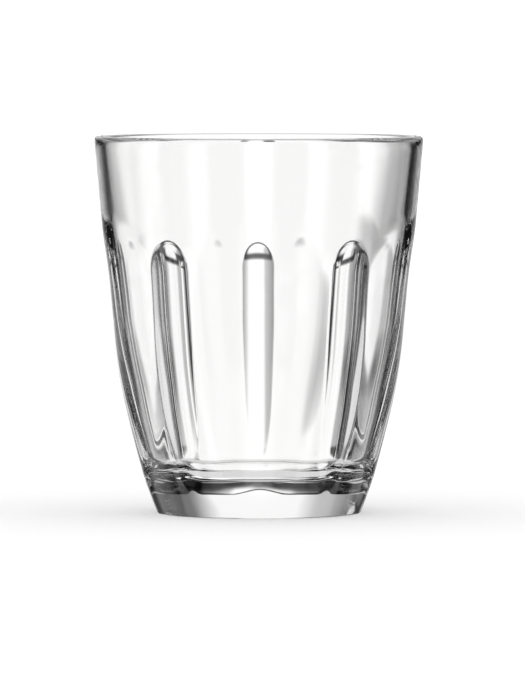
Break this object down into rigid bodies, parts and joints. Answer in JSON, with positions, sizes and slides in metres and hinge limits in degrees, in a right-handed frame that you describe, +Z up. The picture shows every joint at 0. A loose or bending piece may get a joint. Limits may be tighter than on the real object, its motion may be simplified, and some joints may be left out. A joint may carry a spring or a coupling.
{
  "type": "tumbler",
  "caption": "Pressed glass juice tumbler: plain band under the rim, arched wide and narrow flutes round a barrelled body, thick tapered foot.",
  "frame": {"origin": "centre of the underside, on the surface the glass stands on", "axes": "+Z up along the glass's middle line, -Y towards the middle of one wide flute"},
  "size_m": [0.079, 0.079, 0.0905],
  "materials": {
    "clear_glass": "fire-polished clear pressed glass"
  },
  "bodies": {
    "root": {"tumbler": "clear_glass"}
  },
  "joints": []
}
